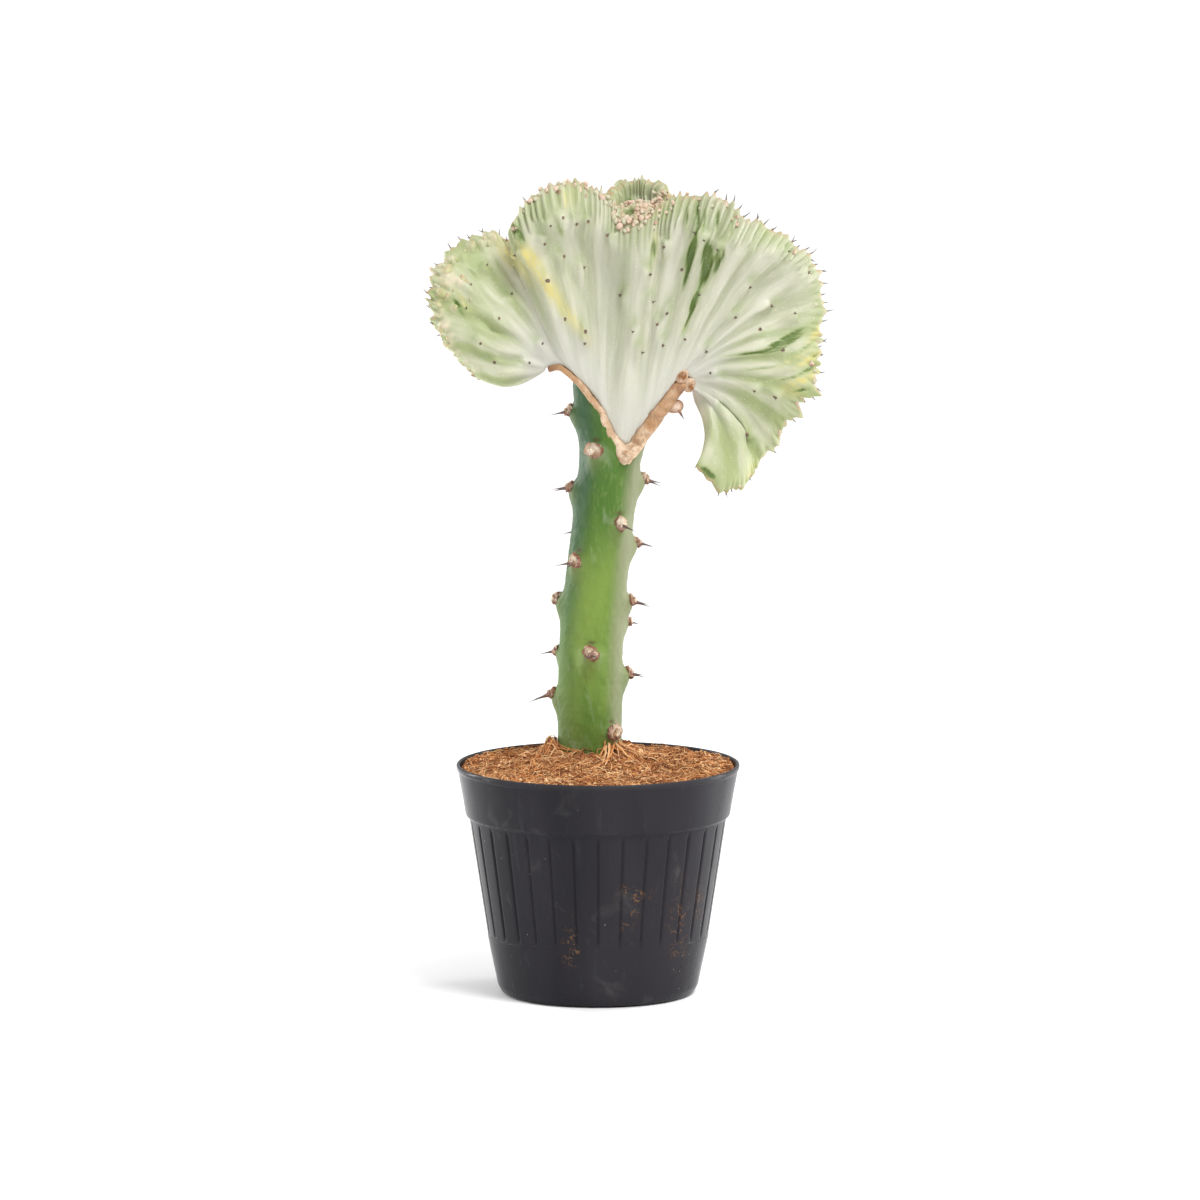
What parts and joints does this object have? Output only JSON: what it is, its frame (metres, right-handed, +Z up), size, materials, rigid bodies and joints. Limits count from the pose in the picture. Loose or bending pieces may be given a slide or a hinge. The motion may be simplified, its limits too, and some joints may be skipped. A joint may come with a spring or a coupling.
{
  "type": "potted crested succulent",
  "caption": "Fan-shaped pale crested succulent grafted on a thorny green stem, standing in a fluted black nursery pot filled with coir.",
  "frame": {"origin": "centre of the pot's flat underside, on the surface that the pot stands on", "axes": "+Z up along the pot's axis, -Y towards the broad front face of the crest, +X to the right seen from the front"},
  "size_m": [0.157, 0.11, 0.3216],
  "materials": {
    "pot_plastic": "satin black moulded plastic with dust and soil marks",
    "coir": "dry orange-brown coconut fibre",
    "stem_skin": "waxy green skin",
    "callus_cork": "dry tan cork",
    "crest_flesh": "waxy pale green-white flesh"
  },
  "bodies": {
    "root": {"pot": "pot_plastic", "growing_medium": "coir", "rootstock": "stem_skin", "graft_callus": "callus_cork", "crest": "crest_flesh"}
  },
  "joints": []
}
